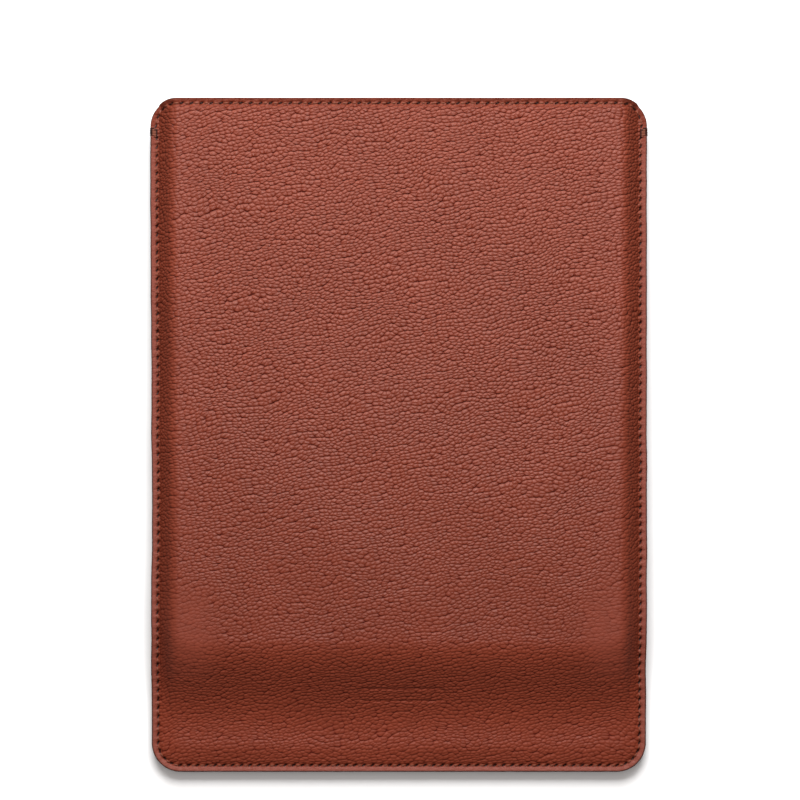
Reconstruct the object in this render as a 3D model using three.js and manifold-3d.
// A slim leather laptop sleeve lying on its back, with its pocket held open as by a notebook that has been
// drawn a little way out of it: the last stretch before the bottom seam has sunk almost flat.
// Millimetres, +Z up. X runs across the sleeve and +Y points to the mouth. The back panel rests on Z = 0,
// and the origin is under the middle of the sleeve.
import * as THREE from "three";
import { mergeVertices } from "three/addons/utils/BufferGeometryUtils.js";
import Module from "manifold-3d";

const wasm = await Module();
wasm.setup();

// Outline of the stacked panels, seen from above.
const WIDTH = 229;
const LENGTH = 311;
const MOUTH_RADIUS = 12.5;
const TOE_RADIUS = 13.5;
const HALF_WIDTH = WIDTH / 2;
const HALF_LENGTH = LENGTH / 2;

// Layers. Each panel is a leather outside and a felt inside, with a hair of clearance between solids.
const POCKET_HEIGHT = 16.8;
const FELT = 1.3;
const LEATHER = 1.4;
const CLEARANCE = 0.3;

// Cross-section: a flat sewn flange, a crease beside it, a sloping side and a round shoulder.
const FLANGE = 3.9;
const CREASE_RADIUS = 2;
const SHOULDER_RADIUS = 5.2;
const SIDE_ANGLE = THREE.MathUtils.degToRad(53);

// Lengthways: where the front starts to fall towards the toe, steepest before it is halfway there, and where
// the side seams come down.
const BULGE_END = -93;
const BULGE_SLOPE = 50;
const BULGE_SKEW = 0.78;
const BULGE_RADIUS = 24;
const SEAM_FALL_START = -76;
const SEAM_FALL = 58;
const TOE_SEAM_HEIGHT = 4;
const TOE_POCKET_HEIGHT = 2.5;
const MOUTH_LIFT = 0.5;

// How far a sheet runs past the outline before it is trimmed to it.
const TRIM = 1;

// Stitching: lines of thread sunk into the leather and the felt, and a bar tack at each end of the seam.
const SEAM_INSET = 3;
const MOUTH_INSET = 2.5;
const THREAD_RADIUS = 0.35;
const LEATHER_SINK = 0.1;
const FELT_SINK = 0.4;
const THREAD_SIDES = 6;
const TACK_MIDDLE = 140.2;
const TACK_WRAPS = 4;
const TACK_PITCH = 0.85;
const TACK_RADIUS = 0.5;
const TACK_SINK = 0.1;
const TACK_SIDES = 12;

// The front lip flexes about a line above the bar tacks, a little under the outer face of the front. The two
// sides of the line stand far enough apart for the lip to lift.
const FLEX_LINE = 143.2;
const FLEX_HEIGHT = 20.4;
const SLEEVE_END = 143;
const LIP_START = 144.05;

// Finishes.
const LEATHER_FINISH = { color: 0x8f4d40, roughness: 0.55, metalness: 0 };
const FELT_FINISH = { color: 0x8b8984, roughness: 0.95, metalness: 0 };
const THREAD_FINISH = { color: 0x7d5443, roughness: 0.7, metalness: 0 };

// Heights worked out from the layers. The interface is the surface halfway between a panel's two layers.
const FELT_FACE = CLEARANCE / 2 + FELT;
const LEATHER_FACE = CLEARANCE / 2 + LEATHER;
const SEAM_OFFSET = CLEARANCE / 2 + FELT_FACE;
const BACK_FLAT = LEATHER_FACE;
const FRONT_FLAT = BACK_FLAT + 2 * FELT_FACE + POCKET_HEIGHT;
const TOE_FLAT = BACK_FLAT + 2 * FELT_FACE + TOE_POCKET_HEIGHT;
const SEAM_HEIGHT = (BACK_FLAT + FRONT_FLAT) / 2;
const SIDE_RISE = FRONT_FLAT - SEAM_HEIGHT - SEAM_OFFSET;

// The loop that a bar tack's thread makes round the seam, and where its lowest wrap lies.
const TACK_HALF_WIDTH = (SEAM_INSET - TACK_SINK) / 2;
const TACK_HALF_HEIGHT = SEAM_OFFSET + LEATHER_FACE + TACK_SINK;
const TACK_START = TACK_MIDDLE - ((TACK_WRAPS - 1) * TACK_PITCH) / 2;

// The cross-section's stretches, measured inwards from the flange.
const CREASE_RUN = CREASE_RADIUS * Math.sin(SIDE_ANGLE);
const CREASE_RISE = CREASE_RADIUS * (1 - Math.cos(SIDE_ANGLE));
const SHOULDER_DROP = SHOULDER_RADIUS * (1 - Math.cos(SIDE_ANGLE));
const STEEP_RUN = (SIDE_RISE - CREASE_RISE - SHOULDER_DROP) / Math.tan(SIDE_ANGLE);
const SIDE_RUN = CREASE_RUN + STEEP_RUN + SHOULDER_RADIUS * Math.sin(SIDE_ANGLE);

// Places a fraction of the way from one number to another, without the first one.
function spread(from, to, steps) {
  return Array.from({ length: steps }, (_, i) => from + ((to - from) * (i + 1)) / steps);
}

// A rise from 0 to 1 that starts and ends level.
function ease(t) {
  return THREE.MathUtils.smootherstep(t, 0, 1);
}

// How far a point lies outside a rectangle with one open end and two round corners at the other.
function outsideRoundEnd(x, y, halfWidth, end, radius) {
  const acrossCorner = Math.abs(x) - (halfWidth - radius);
  const belowCorner = end + radius - y;
  if (acrossCorner > 0 && belowCorner > 0) return Math.hypot(acrossCorner, belowCorner) - radius;
  return Math.max(acrossCorner, belowCorner) - radius;
}

// How far a point lies inside the sewn edge: the two sides and the bottom.
function insideSewnEdge(x, y) {
  return -outsideRoundEnd(x, y, HALF_WIDTH, -HALF_LENGTH, TOE_RADIUS);
}

// Height of the side of the bulge, from 0 on the flange to 1 on the flat.
function sideProfile(inside) {
  const run = inside - FLANGE;
  if (run <= 0) return 0;
  if (run >= SIDE_RUN) return 1;
  if (run < CREASE_RUN) return (CREASE_RADIUS - Math.sqrt(CREASE_RADIUS ** 2 - run ** 2)) / SIDE_RISE;
  if (run < CREASE_RUN + STEEP_RUN) {
    return (CREASE_RISE + (run - CREASE_RUN) * Math.tan(SIDE_ANGLE)) / SIDE_RISE;
  }
  const drop = SHOULDER_RADIUS - Math.sqrt(SHOULDER_RADIUS ** 2 - (SIDE_RUN - run) ** 2);
  return 1 - drop / SIDE_RISE;
}

// Height of the plane in which the two halves are sewn together.
function seamHeight(y) {
  return THREE.MathUtils.lerp(SEAM_HEIGHT, TOE_SEAM_HEIGHT, ease((SEAM_FALL_START - y) / SEAM_FALL));
}

// Height of the front panel's interface.
function frontInterface(x, y) {
  const outside = outsideRoundEnd(x, y, HALF_WIDTH, BULGE_END, BULGE_RADIUS);
  const fallen = ease(Math.max(outside / BULGE_SLOPE, 0) ** BULGE_SKEW);
  const flat = THREE.MathUtils.lerp(FRONT_FLAT, TOE_FLAT, fallen);
  return THREE.MathUtils.lerp(seamHeight(y) + SEAM_OFFSET, flat, sideProfile(insideSewnEdge(x, y)));
}

// Height of the back panel's interface. The mouth edge curls a little off the table.
function backInterface(x, y) {
  const flat = BACK_FLAT + MOUTH_LIFT * ease((y - LIP_START) / (HALF_LENGTH - LIP_START));
  return THREE.MathUtils.lerp(seamHeight(y) - SEAM_OFFSET, flat, sideProfile(insideSewnEdge(x, y)));
}

// The upward normal of an interface.
function normalAt(interfaceAt, x, y) {
  const step = 0.01;
  const slopeX = (interfaceAt(x + step, y) - interfaceAt(x - step, y)) / (2 * step);
  const slopeY = (interfaceAt(x, y + step) - interfaceAt(x, y - step)) / (2 * step);
  return new THREE.Vector3(-slopeX, -slopeY, 1).normalize();
}

// A point at a distance from an interface, positive above it.
function offsetPoint(interfaceAt, x, y, offset) {
  return normalAt(interfaceAt, x, y).multiplyScalar(offset).add(new THREE.Vector3(x, y, interfaceAt(x, y)));
}

// Grid lines across the sleeve, close together where the side curves, and a little past the outline.
function columnStations() {
  const flange = HALF_WIDTH - FLANGE;
  const shoulder = flange - SIDE_RUN;
  const half = [HALF_WIDTH + TRIM, flange];
  half.push(...spread(0, SIDE_ANGLE, 2).map((angle) => flange - CREASE_RADIUS * Math.sin(angle)));
  half.push(flange - CREASE_RUN - STEEP_RUN);
  half.push(...spread(SIDE_ANGLE, 0, 4).map((angle) => shoulder + SHOULDER_RADIUS * Math.sin(angle)));
  half.push(...spread(shoulder, HALF_WIDTH - BULGE_RADIUS, 3), ...spread(HALF_WIDTH - BULGE_RADIUS, 0, 2));
  return [...half.map((x) => -x), ...half.slice(0, -1).reverse()];
}

// Grid lines from past the bottom edge to the flex line.
function sleeveRows() {
  const toe = [-HALF_LENGTH - TRIM, FLANGE - HALF_LENGTH];
  toe.push(...spread(FLANGE - HALF_LENGTH, FLANGE + SIDE_RUN - HALF_LENGTH, 2));
  const fall = spread(toe.at(-1), SEAM_FALL_START, 11);
  return [...toe, ...fall, ...spread(SEAM_FALL_START, BULGE_END + BULGE_RADIUS, 3), SLEEVE_END];
}

const COLUMNS = columnStations();
const SLEEVE_ROWS = sleeveRows();
const LIP_ROWS = [LIP_START, ...spread(LIP_START, HALF_LENGTH + TRIM, 3)];

// A tall block with the sleeve's rounded outline.
function outlineBlock() {
  const outline = new THREE.Shape();
  const mouthX = HALF_WIDTH - MOUTH_RADIUS;
  const mouthY = HALF_LENGTH - MOUTH_RADIUS;
  const toeX = HALF_WIDTH - TOE_RADIUS;
  const toeY = TOE_RADIUS - HALF_LENGTH;
  outline.absarc(mouthX, mouthY, MOUTH_RADIUS, 0, Math.PI / 2);
  outline.absarc(-mouthX, mouthY, MOUTH_RADIUS, Math.PI / 2, Math.PI);
  outline.absarc(-toeX, toeY, TOE_RADIUS, Math.PI, 1.5 * Math.PI);
  outline.absarc(toeX, toeY, TOE_RADIUS, 1.5 * Math.PI, 2 * Math.PI);
  const depth = 2 * FRONT_FLAT;
  const block = new THREE.ExtrudeGeometry(outline, { depth, bevelEnabled: false, curveSegments: 6 });
  return solid(block.translate(0, 0, (FRONT_FLAT - depth) / 2));
}

// Splits the squares of a box's under face along the other diagonal, to facet it like the upper face.
function matchDiagonals(box) {
  const { start, count } = box.groups[5];
  const index = box.index.array;
  for (let i = start; i < start + count; i += 6) {
    const [a, b, d, , c] = index.slice(i, i + 6);
    index.set([a, b, c, a, c, d], i);
  }
}

// A closed sheet of cloth or leather between two offsets from an interface.
function sheet(interfaceAt, rows, [low, high]) {
  const geometry = new THREE.BoxGeometry(1, 1, 1, COLUMNS.length - 1, rows.length - 1, 1);
  matchDiagonals(geometry);
  const position = geometry.attributes.position;
  for (let i = 0; i < position.count; i++) {
    const x = COLUMNS[Math.round((position.getX(i) + 0.5) * (COLUMNS.length - 1))];
    const y = rows[Math.round((position.getY(i) + 0.5) * (rows.length - 1))];
    const point = offsetPoint(interfaceAt, x, y, position.getZ(i) > 0 ? high : low);
    position.setXYZ(i, point.x, point.y, point.z);
  }
  return solid(geometry).intersect(OUTLINE);
}

// A closed geometry as a solid that can be joined and cut.
function solid(geometry) {
  const bare = geometry.index ? geometry.toNonIndexed() : geometry.clone();
  bare.deleteAttribute("normal");
  bare.deleteAttribute("uv");
  const merged = mergeVertices(bare, 1e-4);
  const vertProperties = merged.attributes.position.array;
  const triVerts = new Uint32Array(merged.index.array);
  return new wasm.Manifold(new wasm.Mesh({ numProp: 3, vertProperties, triVerts }));
}

const OUTLINE = outlineBlock();

// A named mesh made from a solid.
function piece(name, body, finish) {
  const { vertProperties, triVerts } = body.getMesh();
  const geometry = new THREE.BufferGeometry();
  geometry.setAttribute("position", new THREE.BufferAttribute(vertProperties, 3));
  geometry.setIndex(new THREE.BufferAttribute(triVerts, 1));
  geometry.computeVertexNormals();
  const mesh = new THREE.Mesh(geometry, new THREE.MeshStandardMaterial(finish));
  mesh.name = name;
  return mesh;
}

// A thread along a line of points on a panel: a cylinder bent to follow the line.
function thread(line, interfaceAt, offset, radius, extra) {
  const centres = line.map(([x, y]) => offsetPoint(interfaceAt, x, y, offset));
  const last = centres.length - 1;
  const alongs = centres.map((_, i) =>
    centres[Math.min(i + 1, last)].clone().sub(centres[Math.max(i - 1, 0)]).normalize());
  centres[0].addScaledVector(alongs[0], -extra);
  centres[last].addScaledVector(alongs[last], extra);
  const geometry = new THREE.CylinderGeometry(radius, radius, 1, THREAD_SIDES, last);
  const position = geometry.attributes.position;
  for (let i = 0; i < position.count; i++) {
    const station = Math.round((position.getY(i) + 0.5) * last);
    const [x, y] = line[station];
    const up = normalAt(interfaceAt, x, y);
    const across = up.clone().cross(alongs[station]).normalize();
    const upright = alongs[station].clone().cross(across);
    const point = centres[station].clone()
      .addScaledVector(across, position.getX(i))
      .addScaledVector(upright, -position.getZ(i));
    position.setXYZ(i, point.x, point.y, point.z);
  }
  return solid(geometry);
}

// A quarter circle of stitch line on the right-hand side, from straight across to straight up or down.
function quarterLine(centreY, radius, direction, from, steps) {
  const centreX = HALF_WIDTH - (direction > 0 ? MOUTH_RADIUS : TOE_RADIUS);
  return [from, ...spread(from, Math.PI / 2, steps)].map((angle) =>
    [centreX + radius * Math.cos(angle), centreY + direction * radius * Math.sin(angle)]);
}

// A line that runs down the right side is carried on, mirrored, up the left side.
function mirrored(line) {
  return [...line, ...line.map(([x, y]) => [-x, y]).reverse()];
}

// The seam's stitch line: down one side, along the bottom and up the other side.
function seamLine() {
  const top = TACK_START - TACK_RADIUS - 3 * CLEARANCE;
  const x = HALF_WIDTH - SEAM_INSET;
  const side = SLEEVE_ROWS.filter((y) => y < top && y > TOE_RADIUS - HALF_LENGTH).reverse();
  const straight = [top, ...side].map((y) => [x, y]);
  return mirrored([...straight, ...quarterLine(TOE_RADIUS - HALF_LENGTH, TOE_RADIUS - SEAM_INSET, -1, 0, 5)]);
}

// A mouth stitch line, from just above the bar tack on one side to the same place on the other.
function mouthLine() {
  const radius = MOUTH_RADIUS - MOUTH_INSET;
  const from = Math.asin((LIP_START + 3 * CLEARANCE - (HALF_LENGTH - MOUTH_RADIUS)) / radius);
  return mirrored(quarterLine(HALF_LENGTH - MOUTH_RADIUS, radius, 1, from, 7));
}

// A thread and the groove that it sinks into, on the given face of a panel.
function stitching(line, interfaceAt, face, sink) {
  const offset = face - Math.sign(face) * sink;
  return {
    strand: thread(line, interfaceAt, offset, THREAD_RADIUS, 0),
    groove: thread(line, interfaceAt, offset, THREAD_RADIUS + CLEARANCE, CLEARANCE),
  };
}

// One wrap of a bar tack round the sewn edge: a ring with square shoulders.
function tackWrap() {
  const unit = 10;
  const geometry = new THREE.TorusGeometry(unit, TACK_RADIUS, THREAD_SIDES, TACK_SIDES);
  const position = geometry.attributes.position;
  for (let i = 0; i < position.count; i++) {
    const reach = Math.hypot(position.getX(i), position.getY(i));
    const cos = position.getX(i) / reach;
    const sin = position.getY(i) / reach;
    const x = TACK_HALF_WIDTH * Math.sign(cos) * Math.sqrt(Math.abs(cos)) + (reach - unit) * cos;
    const z = TACK_HALF_HEIGHT * Math.sign(sin) * Math.sqrt(Math.abs(sin)) + (reach - unit) * sin;
    position.setXYZ(i, x, -position.getZ(i), z);
  }
  return geometry;
}

// A bar tack on one side: wraps side by side round the edge, through the stitch hole.
function barTack(side) {
  const x = side * (HALF_WIDTH - TACK_SINK - TACK_HALF_WIDTH);
  const wraps = Array.from({ length: TACK_WRAPS }, (_, i) =>
    solid(tackWrap().translate(x, TACK_START + i * TACK_PITCH, SEAM_HEIGHT)));
  return wraps.reduce((joined, wrap) => joined.add(wrap));
}

// A rectangle about the origin, as an outline or as a hole.
function rectangle(halfWidth, halfHeight, Outline = THREE.Shape) {
  const corners = [[-1, -1], [1, -1], [1, 1], [-1, 1]];
  return new Outline(corners.map(([x, y]) => new THREE.Vector2(x * halfWidth, y * halfHeight)));
}

// The room that a bar tack takes out of the panels.
function tackRoom(side) {
  const reach = TACK_RADIUS + CLEARANCE;
  const frame = rectangle(TACK_HALF_WIDTH + reach, TACK_HALF_HEIGHT + reach);
  frame.holes.push(rectangle(TACK_HALF_WIDTH - reach, TACK_HALF_HEIGHT - reach, THREE.Path));
  const depth = (TACK_WRAPS - 1) * TACK_PITCH + 2 * reach;
  const room = new THREE.ExtrudeGeometry(frame, { depth, bevelEnabled: false }).rotateX(-Math.PI / 2);
  const x = side * (HALF_WIDTH - TACK_SINK - TACK_HALF_WIDTH);
  return solid(room.translate(x, TACK_START - reach, SEAM_HEIGHT));
}

// A sheet with the given shapes cut out of it.
function cut(body, ...tools) {
  return tools.reduce((rest, tool) => rest.subtract(tool), body);
}

const BACK_ROWS = [...SLEEVE_ROWS, ...LIP_ROWS];

const seamTop = stitching(seamLine(), frontInterface, LEATHER_FACE, LEATHER_SINK);
const seamUnder = stitching(seamLine(), backInterface, -LEATHER_FACE, LEATHER_SINK);
const lipOutside = stitching(mouthLine(), frontInterface, LEATHER_FACE, LEATHER_SINK);
const lipInside = stitching(mouthLine(), frontInterface, -FELT_FACE, FELT_SINK);
const backOutside = stitching(mouthLine(), backInterface, -LEATHER_FACE, LEATHER_SINK);
const backInside = stitching(mouthLine(), backInterface, FELT_FACE, FELT_SINK);
const tackRooms = [-1, 1].map((side) => tackRoom(side));

const leatherFaces = [CLEARANCE / 2, LEATHER_FACE];
const feltFaces = [-FELT_FACE, -CLEARANCE / 2];
const backLeatherFaces = [-LEATHER_FACE, -CLEARANCE / 2];
const backFeltFaces = [CLEARANCE / 2, FELT_FACE];

const frontLeather = cut(sheet(frontInterface, SLEEVE_ROWS, leatherFaces), seamTop.groove, ...tackRooms);
const frontFelt = cut(sheet(frontInterface, SLEEVE_ROWS, feltFaces), ...tackRooms);
const lipLeather = cut(sheet(frontInterface, LIP_ROWS, leatherFaces), lipOutside.groove);
const lipFelt = cut(sheet(frontInterface, LIP_ROWS, feltFaces), lipInside.groove);
const backFelt = cut(sheet(backInterface, BACK_ROWS, backFeltFaces), backInside.groove, ...tackRooms);
const backLeather = cut(
  sheet(backInterface, BACK_ROWS, backLeatherFaces),
  seamUnder.groove,
  backOutside.groove,
  ...tackRooms,
);

const sleeve = new THREE.Group();
sleeve.add(
  piece("front_leather_panel", frontLeather, LEATHER_FINISH),
  piece("front_felt_lining", frontFelt, FELT_FINISH),
  piece("back_felt_lining", backFelt, FELT_FINISH),
  piece("back_leather_panel", backLeather, LEATHER_FINISH),
  piece("seam_needle_thread", seamTop.strand, THREAD_FINISH),
  piece("seam_bobbin_thread", seamUnder.strand, THREAD_FINISH),
  piece("back_mouth_needle_thread", backOutside.strand, THREAD_FINISH),
  piece("back_mouth_bobbin_thread", backInside.strand, THREAD_FINISH),
  piece("left_bar_tack", barTack(-1), THREAD_FINISH),
  piece("right_bar_tack", barTack(1), THREAD_FINISH),
);

// The front lip hangs on the flex line, and is placed here at rest.
const flexLine = new THREE.Group();
flexLine.position.set(0, FLEX_LINE, FLEX_HEIGHT);
const frontLip = new THREE.Group();
frontLip.position.copy(flexLine.position).negate();
frontLip.add(
  piece("front_leather_lip", lipLeather, LEATHER_FINISH),
  piece("front_felt_lip", lipFelt, FELT_FINISH),
  piece("front_mouth_needle_thread", lipOutside.strand, THREAD_FINISH),
  piece("front_mouth_bobbin_thread", lipInside.strand, THREAD_FINISH),
);
flexLine.add(frontLip);
sleeve.add(flexLine);

export default sleeve;
